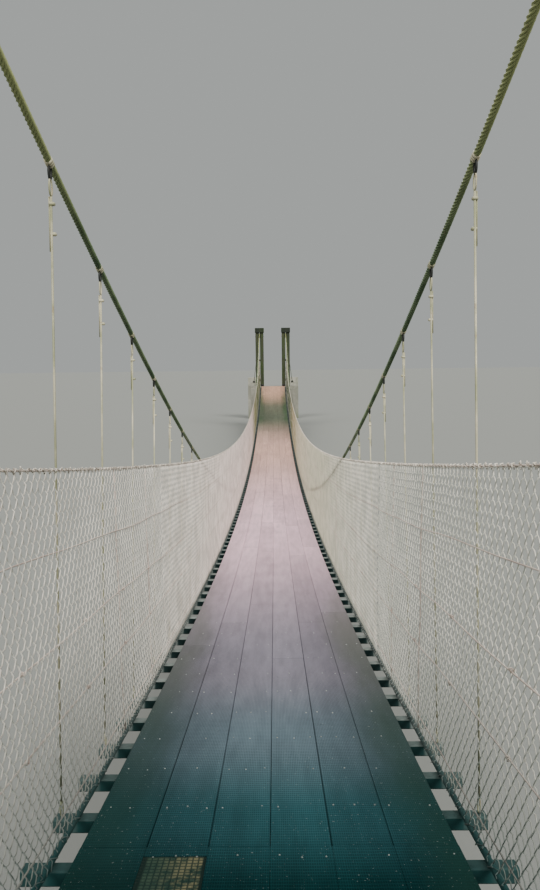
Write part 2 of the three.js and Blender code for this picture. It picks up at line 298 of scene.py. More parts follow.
def tube_faces(tubes, rings, sides):
    """Side quads and end caps of tubes whose points come as tubes x rings x sides."""
    index = np.arange(tubes * rings * sides).reshape(tubes, rings, sides)
    here = index[:, :-1, :]
    there = index[:, 1:, :]
    quads = np.stack([here, np.roll(here, -1, 2), np.roll(there, -1, 2), there], -1)
    return [quads.reshape(-1, 4), index[:, 0, ::-1], index[:, -1, :]]


def ring_angles(sides, twist=0.0):
    """Angles of the corners of a ring, turned by a twist."""
    return np.arange(sides) * 2 * math.pi / sides + twist


def sweep(paths, radius, sides, aside=(1.0, 0.0, 0.0), twist=0.0, lobes=None):
    """Round tubes along paths, given as tubes x points x 3.

    aside is any direction that no path runs along. twist holds the angle by which the section
    is turned at each point, and lobes is a list of radius factors round the section."""
    paths = np.asarray(paths, float)
    if paths.ndim == 2:
        paths = paths[None]
    tangent = np.gradient(paths, axis=1)
    tangent /= np.linalg.norm(tangent, axis=2, keepdims=True)
    across = np.asarray(aside, float) - tangent * (tangent @ np.asarray(aside, float))[..., None]
    across /= np.linalg.norm(across, axis=2, keepdims=True)
    up = np.cross(tangent, across)
    turn = ring_angles(sides, np.broadcast_to(twist, paths.shape[1])[:, None])
    reach = np.broadcast_to(radius, paths.shape[:2])[..., None]
    if lobes is not None:
        reach = reach * np.asarray(lobes)[None, None, :]
    ring = across[:, :, None, :] * (reach * np.cos(turn))[..., None]
    ring = ring + up[:, :, None, :] * (reach * np.sin(turn))[..., None]
    points = paths[:, :, None, :] + ring
    return points.reshape(-1, 3), tube_faces(paths.shape[0], paths.shape[1], sides)


def prisms(sections):
    """Closed prisms from sections, given as prisms x rings x corners x 3."""
    sections = np.asarray(sections, float)
    return sections.reshape(-1, 3), tube_faces(*sections.shape[:3])


def bevelled_box(low, high, bevel):
    """A box with cut edges all round, as a prism of four rings along Z."""
    low, high = np.asarray(low, float), np.asarray(high, float)
    centre, half = (low + high) / 2, (high - low) / 2
    rings = []
    for z, inset in ((-half[2], bevel), (bevel - half[2], 0), (half[2] - bevel, 0), (half[2], bevel)):
        x, y = half[0] - inset, half[1] - inset
        ring = [(x, bevel - y), (x, y - bevel), (x - bevel, y), (bevel - x, y),
                (-x, y - bevel), (-x, bevel - y), (bevel - x, -y), (x - bevel, -y)]
        rings.append([(centre[0] + a, centre[1] + b, centre[2] + z) for a, b in ring])
    return prisms([rings])


# Node helpers
MIX_FIRST, MIX_SECOND, MIX_RESULT = 6, 7, 2


class Shader:
    """A node material with short calls for the nodes that it uses."""

    def __init__(self, name):
        self.material = bpy.data.materials.new(name)
        self.material.use_nodes = True
        self.tree = self.material.node_tree
        self.surface = self.tree.nodes["Principled BSDF"]
        self.place = self.node("ShaderNodeTexCoord").outputs["Object"]

    def feed(self, socket, value):
        if isinstance(value, bpy.types.NodeSocket):
            self.tree.links.new(value, socket)
        else:
            socket.default_value = value

    def node(self, kind, inputs=None, **settings):
        """A new node, with values or links for its inputs by their names or numbers."""
        made = self.tree.nodes.new(kind)
        for key, value in settings.items():
            setattr(made, key, value)
        for key, value in (inputs or {}).items():
            self.feed(made.inputs[key], value)
        return made

    def math(self, operation, a, b=0.0):
        return self.node("ShaderNodeMath", {0: a, 1: b}, operation=operation).outputs[0]

    def times(self, a, b):
        return self.math("MULTIPLY", a, b)

    def noise(self, scale, detail=4.0, rough=0.55, stretch=(1.0, 1.0, 1.0), offset=(0.0, 0.0, 0.0)):
        place = self.node("ShaderNodeMapping",
                          {"Vector": self.place, "Scale": stretch, "Location": offset})
        made = self.node("ShaderNodeTexNoise", {"Vector": place.outputs[0], "Scale": scale,
                                                "Detail": detail, "Roughness": rough})
        return made.outputs["Fac"]

    def ramp(self, factor, low, high, to_low=0.0, to_high=1.0):
        ends = {"Value": factor, "From Min": low, "From Max": high, "To Min": to_low, "To Max": to_high}
        return self.node("ShaderNodeMapRange", ends, interpolation_type="SMOOTHSTEP").outputs["Result"]

    def mix(self, factor, a, b, blend="MIX"):
        made = self.node("ShaderNodeMix", {0: factor}, data_type="RGBA", blend_type=blend)
        for number, value in ((MIX_FIRST, a), (MIX_SECOND, b)):
            self.feed(made.inputs[number], (*value, 1.0) if isinstance(value, tuple) else value)
        return made.outputs[MIX_RESULT]

    def axis(self, which):
        return self.node("ShaderNodeSeparateXYZ", {0: self.place}).outputs[which]

    def between(self, which, low, high, to_low=0.0, to_high=1.0):
        """A ramp between two of the real bridge's places on an axis."""
        return self.ramp(self.axis(which), low * SCALE, high * SCALE, to_low, to_high)

    def near_shade(self, full, none):
        """1 at the near end, where the painted shade is deepest, falling to 0 along the bridge."""
        return self.between("Y", full, none, 1.0, 0.0)

    def attribute(self, name, output="Fac"):
        return self.node("ShaderNodeAttribute", attribute_name=name).outputs[output]

    def bump(self, height, strength, distance, over=None):
        made = self.node("ShaderNodeBump", {"Strength": strength, "Distance": distance, "Height": height})
        if over is not None:
            self.feed(made.inputs["Normal"], over)
        return made.outputs["Normal"]

    def colors_along(self, stops):
        """A colour that changes along the bridge, through (real Y, colour) stops."""
        place = self.between("Y", -HALF_LENGTH, HALF_LENGTH)
        place.node.interpolation_type = "LINEAR"
        made = self.node("ShaderNodeValToRGB", {0: place})
        made.color_ramp.interpolation = "EASE"
        elements = made.color_ramp.elements
        while len(elements) < len(stops):
            elements.new(0.5)
        for element, (y, color) in zip(elements, stops):
            element.position = y / (2 * HALF_LENGTH) + 0.5
            element.color = (*color, 1.0)
        return made.outputs["Color"]

    def finish(self, color, rough, metal=0.0, normal=None, shine=0.25):
        self.surface.inputs["Specular IOR Level"].default_value = shine
        self.feed(self.surface.inputs["Base Color"], color)
        self.feed(self.surface.inputs["Roughness"], rough)
        self.feed(self.surface.inputs["Metallic"], metal)
        if normal is not None:
            self.feed(self.surface.inputs["Normal"], normal)
        return self.material


# Materials
GRID_LINE_EDGE = (0.05, 0.20)
WORN_HALF_WIDTH = (0.10, 0.42)
NEAR_SHADE_Y = (-19.6, -11.0)
FAR_SHADE_Y = ((9.0, 12.5), (17.5, 22.0))
MOSS_EDGE = (0.45, 0.72)
UNLACED_RUST_Y = (3.0, 8.0)
# Heights over which painted light turns the main cables pale olive
LIT_ROPE_HEIGHT = (2.1, 2.6)


def anti_slip_grid(s, across, lengthwise=1.0):
    """1 on the raised lines of the boards' fine grid, 0 in its cells."""
    lines = []
    for axis, pitch, strength in (("X", across, lengthwise), ("Y", GRID_ALONG, 1.0)):
        place = s.math("PINGPONG", s.axis(axis), pitch * SCALE / 2)
        full, none = (share * pitch * SCALE for share in GRID_LINE_EDGE)
        lines.append(s.ramp(place, full, none, strength, 0.0))
    return s.math("MAXIMUM", *lines)


def decking_material():
    """Planks with a fine grid: painted shade makes the near end dark teal; mauve beyond, green at the
    edges.
    """
    s = Shader("grid_planks")
    grid = anti_slip_grid(s, GRID_ACROSS, 0.95)
    streaks = s.noise(30.0, 6.0, 0.6, (1.0, 0.05, 1.0))
    blotch = s.noise(1.6, 5.0, 0.6, (1.0, 0.5, 1.0), (3.0, 1.0, 0.0))
    speck = s.noise(210.0, 2.0, 0.6)
    pit = s.noise(150.0, 2.0, 0.6, offset=(4.0, 9.0, 2.0))

    # How light the boards are, less the wear along the middle and the shade at the edges
    value = s.ramp(s.attribute("tone"), 0.0, 1.0, 0.90, 1.06)
    value = s.times(value, s.ramp(grid, 0.0, 1.0, 0.82, 1.36))
    value = s.times(value, s.ramp(blotch, 0.3, 0.7, 0.90, 1.08))
    value = s.times(value, s.ramp(streaks, 0.3, 0.75, 1.05, 0.84))
    wave = s.node("ShaderNodeTexWave", {"Vector": s.place, "Scale": 1.1, "Distortion": 3.5, "Detail": 2.0},
                  bands_direction="Y", wave_profile="SIN")
    inner, outer = (x * SCALE for x in WORN_HALF_WIDTH)
    middle = s.ramp(s.math("ABSOLUTE", s.axis("X")), inner, outer, 0.05, 0.0)
    value = s.math("SUBTRACT", value, s.times(wave.outputs["Fac"], middle))
    side = s.math("ABSOLUTE", s.math("ADD", s.axis("X"), s.ramp(blotch, 0.3, 0.7, -0.07, 0.04)))
    # Painted shade towards the edges, deeper at the near end and from 9 m to 22 m
    near = s.near_shade(*NEAR_SHADE_Y)
    far = s.times(s.between("Y", *FAR_SHADE_Y[0]), s.between("Y", *FAR_SHADE_Y[1], 1.0, 0.0))
    loss = s.math("ADD", s.times(near, 0.40), s.times(far, 0.12))
    loss = s.times(s.math("ADD", loss, 0.08), s.ramp(side, 0.04 * SCALE, 0.80 * SCALE))
    value = s.times(value, s.math("SUBTRACT", 1.0, loss))
    grey = s.node("ShaderNodeCombineColor", {0: value, 1: value, 2: value})
    color = s.mix(1.0, s.colors_along(DECK_COLORS_AND_SHADE), grey.outputs[0], "MULTIPLY")

    # Moss at the edges, pits, pale specks and the dark sides of the seams
    inner, outer = (x * SCALE for x in MOSS_EDGE)
    moss = s.times(s.ramp(side, inner, outer), s.ramp(blotch, 0.3, 0.6, 0.2, 0.7))
    moss = s.times(moss, s.ramp(s.math("MAXIMUM", near, far), 0.0, 1.0, 0.22, 1.0))
    # Painted shade: the moss turns teal-black towards the near end
    green = s.mix(s.near_shade(-19.5, -15.0), MOSS_GREEN, MOSS_IN_SHADE)
    color = s.mix(moss, color, s.mix(far, green, MOSS_FAR))
    color = s.mix(s.ramp(pit, 0.68, 0.73, 0.0, 0.5), color, PIT_DARK)
    color = s.mix(s.ramp(speck, 0.69, 0.74, 0.0, 0.45), color, SPECK_PALE)
    # Painted shade: the seams turn teal-black towards the near end
    seam = s.mix(s.near_shade(-19.5, -17.5), SEAM_DARK, SEAM_IN_SHADE)
    color = s.mix(s.ramp(s.attribute("tone"), -0.6, -0.4, 1.0, 0.0), color, seam)
    height = s.math("ADD", s.times(grid, 0.6), s.times(speck, 0.4))
    rough = s.ramp(blotch, 0.3, 0.7, 0.65, 0.85)
    return s.finish(color, rough, 0.0, s.bump(height, 0.5, 0.0012), 0.02)


def patch_material():
    """The one plank near the eye whose cells show bare tan wood between dark grid lines."""
    shaded, worn_tan = (0.030, 0.058, 0.040), (0.150, 0.142, 0.080)
    dirt_dark, line_dark, rim_dark = (0.016, 0.040, 0.030), (0.006, 0.022, 0.018), (0.004, 0.016, 0.013)
    s = Shader("tan_grid_patch")
    grid = anti_slip_grid(s, PATCH_GRID_ACROSS)
    dirt = s.noise(45.0, 5.0, 0.65)
    left, right = LANE_EDGES[PATCH_LANE] * SCALE, LANE_EDGES[PATCH_LANE + 1] * SCALE
    cells = s.mix(s.ramp(s.axis("X"), left + 0.02, right - 0.02), shaded, worn_tan)
    cells = s.mix(s.ramp(dirt, 0.42, 0.62), cells, dirt_dark)
    color = s.mix(s.times(grid, 0.85), cells, line_dark)
    rim = s.ramp(s.axis("X"), left + 0.006, left + 0.014, 1.0, 0.0)
    rim = s.math("MAXIMUM", rim, s.ramp(s.axis("X"), right - 0.008, right - 0.004))
    color = s.mix(rim, color, rim_dark)
    return s.finish(color, 0.75, 0.0, s.bump(s.times(grid, -1.0), 0.8, 0.0015), 0.1)


def metal_material(name, light, dark, rust, rough=0.5, metal=0.1, foot_shade=0.8, scale=14.0, tint=0.35,
                   shadow=None, under=None, along=None, shine=0.25):
    """Weathered galvanised metal, with darker and rusty patches, and painted shade at the near end's foot.

    tint is how far the tone turns the colour to the shadow colour; on the mesh that tone is painted
    shade on the legs that rise towards the near end. under is the colour painted as shade on the faces
    that look sideways or down. along gives (real Y, colour) stops that take the place of the light
    colour, with dark as a share of it; on the mesh they darken to painted shade towards the far end.
    One share sets how deep the painted shade at the near end's foot is."""
    s = Shader(name)
    if along is not None:
        light = s.colors_along(along)
        dark = s.mix(1.0, light, dark, "MULTIPLY")
    patches = s.noise(scale, 5.0, 0.6)
    spots = s.noise(scale * 4.0, 4.0, 0.65, offset=(5.0, 2.0, 1.0))
    clean = s.mix(s.ramp(patches, 0.35, 0.65), light, dark)
    color = s.mix(s.ramp(spots, 0.60, 0.72, 0.0, 0.6), clean, rust)
    if along is not None:
        color = s.mix(s.between("Y", *UNLACED_RUST_Y), color, clean)
    shadow = shadow or tuple(0.45 * c for c in dark)
    color = s.mix(s.times(s.attribute("tone"), tint), color, shadow)
    # Painted shade on the faces that look sideways or down, weaker beyond the rails
    if under is not None:
        normal = s.node("ShaderNodeNewGeometry").outputs["True Normal"]
        upward = s.node("ShaderNodeSeparateXYZ", {0: normal}).outputs["Z"]
        off_middle = s.math("ABSOLUTE", s.axis("X"))
        inside = s.ramp(off_middle, 0.84 * SCALE, 0.86 * SCALE, 1.0, 0.25)
        color = s.mix(s.times(s.ramp(upward, 0.35, 0.80, 1.0, 0.0), inside), color, under)
    # Painted shade at the near end's foot, up to 0.95 m above the deck, deepest at the near end
    deck_y = s.math("DIVIDE", s.axis("Y"), HALF_LENGTH * SCALE)
    terms = {0: s.times(deck_y, deck_y), 1: SAG * SCALE, 2: (LEVEL - SAG) * SCALE}
    deck_z = s.node("ShaderNodeMath", terms, operation="MULTIPLY_ADD").outputs[0]
    above = s.math("SUBTRACT", s.axis("Z"), deck_z)
    low = s.ramp(above, 0.0, 0.95 * SCALE, 1.0, 0.0)
    shade = s.times(s.near_shade(-19.9, -16.9), low)
    color = s.mix(s.times(shade, foot_shade), color, METAL_IN_SHADE)
    height = s.math("ADD", patches, s.times(spots, 0.5))
    roughness = s.ramp(spots, 0.3, 0.7, rough - 0.1, rough + 0.15)
    return s.finish(color, roughness, metal, s.bump(height, 0.25, 0.0006), shine)


def rope_material():
    """The main cables: strands laid round each other with painted shade in their grooves, dark green
    below, and turned pale olive near the towers by painted light.
    """
    light, dark, pale = (0.21, 0.28, 0.15), (0.095, 0.15, 0.08), (0.48, 0.51, 0.23)
    rust, groove_shade = (0.26, 0.17, 0.10), (0.030, 0.040, 0.016)
    s = Shader("wire_rope")
    lay = s.node("ShaderNodeSeparateXYZ", {0: s.attribute("lay", "Vector")}).outputs
    around = s.times(s.math("ARCTAN2", lay["Y"], lay["X"]), ROPE_STRANDS / (2 * math.pi))
    strand = s.math("PINGPONG", s.math("ADD", around, lay["Z"]), 0.5)
    groove = s.ramp(strand, 0.0, 0.16, 1.0, 0.0)
    patches = s.noise(9.0, 5.0, 0.6)
    spots = s.noise(50.0, 4.0, 0.65, offset=(5.0, 2.0, 1.0))
    color = s.mix(s.ramp(patches, 0.35, 0.65), light, dark)
    # Painted light: the cables turn pale olive from 2.1 m above the deck's ends, near the towers
    low, high = (LEVEL + height for height in LIT_ROPE_HEIGHT)
    color = s.mix(s.between("Z", low, high, 0.0, 0.75), color, pale)
    color = s.mix(s.ramp(spots, 0.60, 0.72, 0.0, 0.5), color, rust)
    # Painted shade in the grooves between the strands
    color = s.mix(s.times(groove, 0.65), color, groove_shade)
    height = s.math("ADD", strand, s.times(spots, 0.15))
    return s.finish(color, 0.6, 0.1, s.bump(height, 0.9, 0.004), 0.2)


def timber_material(name, light, dark, moss_color):
    """Old posts: grain and checks along Z, with moss in patches."""
    s = Shader(name)
    grain = s.noise(34.0, 8.0, 0.62, (1.0, 1.0, 0.045))
    checks = s.noise(22.0, 3.0, 0.5, (1.0, 1.0, 0.02), (2.0, 7.0, 0.0))
    moss = s.noise(5.0, 6.0, 0.62, (1.0, 1.0, 0.45), (1.0, 3.0, 2.0))
    color = s.mix(s.ramp(grain, 0.3, 0.7), dark, light)
    # Painted shade in the checks
    crack = s.ramp(s.math("ABSOLUTE", s.math("SUBTRACT", checks, 0.5)), 0.0, 0.018, 1.0, 0.0)
    color = s.mix(s.times(crack, 0.85), color, (0.008, 0.009, 0.006))
    color = s.mix(s.ramp(moss, 0.42, 0.66, 0.0, 0.85), color, moss_color)
    height = s.math("SUBTRACT", grain, s.times(crack, 0.9))
    soft = s.bump(s.noise(60.0, 5.0, 0.7), 0.35, 0.004)
    return s.finish(color, s.ramp(moss, 0.4, 0.7, 0.72, 0.97), 0.0, s.bump(height, 0.7, 0.004, soft))


def concrete_material():
    """Board-marked concrete with run-down stains and growth at its foot."""
    dark, light, stain = (0.20, 0.20, 0.165), (0.33, 0.32, 0.275), (0.085, 0.10, 0.065)
    moss, joint_dark, pore_dark = (0.10, 0.13, 0.06), (0.20, 0.19, 0.17), (0.14, 0.13, 0.11)
    s = Shader("weathered_concrete")
    cloud = s.noise(1.7, 7.0, 0.6)
    pores = s.noise(45.0, 4.0, 0.7)
    runs = s.noise(5.0, 5.0, 0.6, (1.0, 1.0, 0.10), (4.0, 0.0, 2.0))
    color = s.mix(s.ramp(cloud, 0.32, 0.68), dark, light)
    color = s.mix(s.ramp(runs, 0.52, 0.72, 0.0, 0.55), color, stain)
    foot = s.ramp(s.axis("Z"), 0.0, 0.55, 1.0, 0.0)
    growth = s.times(foot, s.ramp(cloud, 0.35, 0.6, 0.4, 1.0))
    color = s.mix(s.times(growth, 0.7), color, moss)
    board = s.math("PINGPONG", s.axis("Z"), 0.045)
    joint = s.ramp(board, 0.0006, 0.0020, 1.0, 0.0)
    color = s.mix(s.times(joint, 0.35), color, joint_dark)
    color = s.mix(s.ramp(pores, 0.66, 0.74, 0.0, 0.6), color, pore_dark)
    height = s.math("SUBTRACT", s.times(cloud, 0.6), s.times(joint, 0.5))
    height = s.math("SUBTRACT", height, s.ramp(pores, 0.64, 0.76, 0.0, 0.5))
    return s.finish(color, s.ramp(cloud, 0.3, 0.7, 0.8, 0.95), 0.0, s.bump(height, 0.6, 0.004))


decking = decking_material()
patch_decking = patch_material()
screw_metal = metal_material("screw_heads", (0.68, 0.72, 0.69), (0.36, 0.39, 0.37), (0.28, 0.21, 0.16),
                             foot_shade=0.55)
# Transoms: painted shade on the faces that look sideways or down and deep painted shade at the near end
transom_metal = metal_material("transom_steel", (0.26, 0.29, 0.28), (0.16, 0.19, 0.18), (0.14, 0.12, 0.09),
                               rough=0.6, foot_shade=0.97, under=(0.010, 0.022, 0.022), shine=0.04)
# Edge bars: near-black teal, painted as the shade between the deck and the mesh
bar_metal = metal_material("edge_bar_steel", (0.115, 0.130, 0.125), (0.055, 0.070, 0.068),
                           (0.09, 0.07, 0.05), rough=0.7, foot_shade=0.97, shine=0.04)
foot_metal = metal_material("foot_wire", (0.30, 0.32, 0.30), (0.17, 0.20, 0.19), (0.20, 0.15, 0.11),
                            rough=0.6)
mesh_metals = {
    "left": metal_material("mesh_wire_left", None, (0.72, 0.71, 0.69), (0.55, 0.36, 0.31), rough=0.45,
                           metal=0.05, foot_shade=0.85, scale=9.0, tint=1.0, shadow=(0.52, 0.53, 0.49),
                           along=LEFT_MESH_COLORS),
    "right": metal_material("mesh_wire_right", None, (0.74, 0.76, 0.74), (0.44, 0.33, 0.25), rough=0.45,
                            metal=0.05, foot_shade=0.85, scale=9.0, tint=1.0, shadow=(0.50, 0.52, 0.47),
                            along=RIGHT_MESH_COLORS),
}
line_metal = metal_material("line_wire", (0.78, 0.68, 0.60), (0.58, 0.46, 0.41), (0.40, 0.24, 0.19),
                            rough=0.45, metal=0.05, scale=9.0)
lacing_metal = metal_material("handrail_wire", (0.88, 0.83, 0.74), (0.62, 0.56, 0.48), (0.42, 0.30, 0.22),
                              rough=0.4, scale=20.0)
handrail_metal = metal_material("handrail_cable", (0.74, 0.64, 0.57), (0.52, 0.44, 0.39),
                                (0.40, 0.26, 0.21), scale=20.0)
rope_metal = rope_material()
hanger_metal = metal_material("hanger_rope", (0.62, 0.57, 0.42), (0.32, 0.33, 0.20), (0.34, 0.22, 0.14),
                              foot_shade=0.5, scale=12.0)
clamp_metal = metal_material("clamp_iron", (0.055, 0.06, 0.055), (0.028, 0.03, 0.028), (0.12, 0.06, 0.03),
                             rough=0.6, metal=0.5, foot_shade=0.4, scale=25.0)
post_timber = timber_material("post_timber", (0.066, 0.072, 0.036), (0.017, 0.027, 0.017),
                              (0.040, 0.062, 0.022))
cap_timber = timber_material("cap_timber", (0.030, 0.036, 0.024), (0.010, 0.016, 0.012),
                             (0.024, 0.038, 0.014))
concrete = concrete_material()


# Deck
PLANK_BEVEL = 0.003
MAT_BEVEL = 0.0006
PLANK_END_GAP = 0.004
PLANK_LAP_DROP = 0.014
PLANK_LAP_GAP = 0.0003
PLANK_SHIFT = 0.0008
PLANK_CUP = 0.0006
DECK_EDGE_GAP = 0.0005
MAT_DROP = 0.0008
PLANK_DROP_MOST = 0.0025
SIDE_TONE = -1.0
FIRST_PLANK_SPANS = (5, 12)
PLANK_SPANS = (8, 13)
SHORTEST_PLANK_SPANS = 4
SCREW_PROFILE = ((0.0045, 0.0), (0.0030, 0.0030))
SCREW_SIDES = 5
SCREW_OFFSETS = (-0.090, 0.0, 0.090)
SCREW_LOST_SHARE = 0.45
SCREW_SINK = 0.0022


def plank(builder, lane, near, far):
    """One plank that bends with the sag, its top edges eased, slightly out of line.

    Those at the near end lie close together and level, as one mat."""
    mat = far <= MAT_FAR_Y
    seams = (MAT_SEAM, MAT_SEAM) if mat else SEAMS[lane:lane + 2]
    shift = 0.0 if mat else PLANK_SHIFT
    edge = DECK_WIDTH / 2 - DECK_EDGE_GAP
    left = max(LANE_EDGES[lane] + seams[0] / 2 + rng.uniform(-shift, shift), -edge)
    right = min(LANE_EDGES[lane + 1] - seams[1] / 2 + rng.uniform(-shift, shift), edge)
    drop = MAT_DROP if mat else rng.uniform(0.0, PLANK_DROP_MOST)
    steps = max(int((far - near) / TRANSOM_SPACING), 2)
    ys = np.linspace(near + PLANK_END_GAP / 2, far - PLANK_END_GAP / 2, steps + 1)
    top = deck_height(ys) - DECK_EDGE_GAP - drop
    low = deck_height(ys) - PLANK_THICKNESS
    e = MAT_BEVEL if mat else PLANK_BEVEL
    lap_left = max(LANE_EDGES[lane] + PLANK_LAP_GAP, -edge)
    lap_right = min(LANE_EDGES[lane + 1] - PLANK_LAP_GAP, edge)
    lap = top - PLANK_LAP_DROP
    under_bevel = [(lap_left, low), (lap_right, low), (lap_right, lap), (right, lap)]
    crown = [(right, top - e), (right - e, top), ((left + right) / 2, top - PLANK_CUP),
             (left + e, top), (left, top - e)]
    ring = [*under_bevel, *crown, (left, lap), (lap_left, lap)]
    section = np.stack([places(x, ys, z) for x, z in ring], 1)
    tones = np.full(section.shape[:2], SIDE_TONE)
    tones[:, len(under_bevel):len(under_bevel) + len(crown)] = 0.5 if mat else rng.uniform(0.0, 1.0)
    builder.add(*prisms(section[:, ::-1][None]), tones[:, ::-1].ravel())


def plank_spans(lane):
    """Near and far ends of the boards of a lane: those of the mat, then planks that end on transoms."""
    if lane == PATCH_LANE:
        spans = [(-HALF_LENGTH, PATCH_NEAR_Y), (PATCH_FAR_Y, MAT_FAR_Y)]
    else:
        spans = [(-HALF_LENGTH, MAT_FAR_Y)]
    near = MAT_FAR_Y
    at = int(MAT_FAR_Y / TRANSOM_SPACING) + int(rng.integers(*FIRST_PLANK_SPANS))
    while at < TRANSOMS_EACH_WAY - SHORTEST_PLANK_SPANS:
        spans.append((near, at * TRANSOM_SPACING))
        near = at * TRANSOM_SPACING
        at += int(rng.integers(*PLANK_SPANS))
    return spans + [(near, HALF_LENGTH)]


def make_deck():
    """Six lanes of planks in the deck's five sections, and the one with the coarse grid."""
    builders = [MeshBuilder() for _ in range(SECTIONS)]
    for lane in range(LANES):
        for near, far in plank_spans(lane):
            section = int(((near + far) / 2 + HALF_LENGTH) // SECTION_LENGTH)
            plank(builders[section], lane, near, far)
    patch = MeshBuilder()
    plank(patch, PATCH_LANE, PATCH_NEAR_Y, PATCH_FAR_Y)
    for number, builder in enumerate(builders, 1):
        planks = builder.build(f"planks_{number}", decking, "decking", smooth=False)
        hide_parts(f"deck_section_{number}")
    patch.build("tan_patch_plank", patch_decking, "decking", smooth=False)


def make_screws():
    """Domed screw heads where the planks cross the transoms, a good part of them gone."""
    builder = MeshBuilder()
    around = ring_angles(SCREW_SIDES)
    for i in range(-TRANSOMS_EACH_WAY, TRANSOMS_EACH_WAY + 1):
        for lane in range(LANES):
            middle = (LANE_EDGES[lane] + LANE_EDGES[lane + 1]) / 2
            for offset in SCREW_OFFSETS:
                if rng.uniform() < SCREW_LOST_SHARE:
                    continue
                x = middle + offset + rng.uniform(-0.006, 0.006)
                y = i * TRANSOM_SPACING + rng.uniform(-0.012, 0.012)
                z = float(deck_height(y)) - SCREW_SINK
                rings = [places(x + radius * np.cos(around), y + radius * np.sin(around), z + up)
                         for radius, up in SCREW_PROFILE]
                builder.add(*prisms([rings]), rng.uniform(0, 1))
    builder.build("plank_screws", screw_metal, "galvanised_steel")


# Frame under the deck
TRANSOM_WALL = 0.004
TRANSOM_HOLLOW = 0.05
TRANSOM_CORNERS = (0.006, 0.003)
EDGE_BAR_POINTS = 24
EDGE_BAR_END_GAP = 0.004


def rounded_rectangle(half_width, half_depth, corner):
    """Corners of a transom's section, two for each cut corner."""
    ring = []
    for quarter, (sx, sz) in enumerate(((1, 1), (-1, 1), (-1, -1), (1, -1))):
        cx, cz = sx * (half_width - corner), sz * (half_depth - corner)
        for degrees in (90 * quarter, 90 * quarter + 90):
            a = math.radians(degrees)
            ring.append((cx + corner * math.cos(a), cz + corner * math.sin(a)))
    return np.array(ring)


def transom(y, stations):
    """A transom under a place of the deck, square to its slope."""
    tilt = math.atan(float(deck_slope(y)))
    top = float(deck_height(y)) - PLANK_THICKNESS - TRANSOM_GAP
    rings = []
    for x, ring in stations:
        a, b = ring[:, 0], ring[:, 1] - TRANSOM_DEPTH / 2
        rings.append(places(x, y + a * math.cos(tilt) - b * math.sin(tilt),
                            top + a * math.sin(tilt) + b * math.cos(tilt)))
    return prisms([rings])


def make_frames():
    """Hollow-ended transoms, and the bar along each edge with the mesh laced to it."""
    outer = rounded_rectangle(TRANSOM_WIDTH / 2, TRANSOM_DEPTH / 2, TRANSOM_CORNERS[0])
    inner = rounded_rectangle(TRANSOM_WIDTH / 2 - TRANSOM_WALL, TRANSOM_DEPTH / 2 - TRANSOM_WALL,
                              TRANSOM_CORNERS[1])
    half = TRANSOM_LENGTH / 2
    stations = ((-half + TRANSOM_HOLLOW, inner), (-half, inner), (-half, outer),
                (half, outer), (half, inner), (half - TRANSOM_HOLLOW, inner))
    ys = np.arange(-TRANSOMS_EACH_WAY, TRANSOMS_EACH_WAY + 1) * TRANSOM_SPACING
    for number in range(1, SECTIONS + 1):
        builder = MeshBuilder()
        bars = MeshBuilder()
        start = -HALF_LENGTH + (number - 1) * SECTION_LENGTH
        end = start + SECTION_LENGTH
        for y in ys[(ys > start) & (ys < end)]:
            builder.add(*transom(y, stations), rng.uniform(0, 1))
        stretch = np.linspace(start + EDGE_BAR_END_GAP, end - EDGE_BAR_END_GAP, EDGE_BAR_POINTS)
        for side in (-1, 1):
            path = places(side * RAIL_X, stretch, edge_bar_height(stretch))
            bars.add(*sweep(path, EDGE_BAR_RADIUS, 8), 0.1)
        bars.build(f"edge_bars_{number}", bar_metal, "galvanised_steel")
        piece = builder.build(f"transoms_{number}", transom_metal, "galvanised_steel", smooth=False)
        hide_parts(f"deck_frame_{number}")


# Mesh sides
MESH_POST_GAP = 0.004
MESH_TOP_LIFT = 0.004
LEG_POINTS = (0.20, 0.80)
SWING_PLAY = 0.07
LIFT_PLAY = 0.12
TONE_PLAY = 0.15
# Painted shade on the mesh's legs: tones at the lower and upper points of the far-rising and the near-rising
# legs, on each side
LEG_TONES = {-1: ((0.0, 0.35), (0.85, 0.45)), 1: ((0.1, 0.0), (0.6, 0.85))}
LINE_X = RAIL_X - 0.006
LINE_POINTS = 171
LINE_POST_GAP = 0.003
TIE_TURNS = 2.5
TIE_RADIUS = 0.0075
TIE_ADVANCE = 0.0035
TIE_WIRE_RADIUS = 0.0024
TIE_EVERY = 3
SEAM_WIRE_X = RAIL_X + 0.004
SEAM_WIRE_SHIFTS = (-0.006, 0.006)
SEAM_WIRE_RADIUS = 0.0026


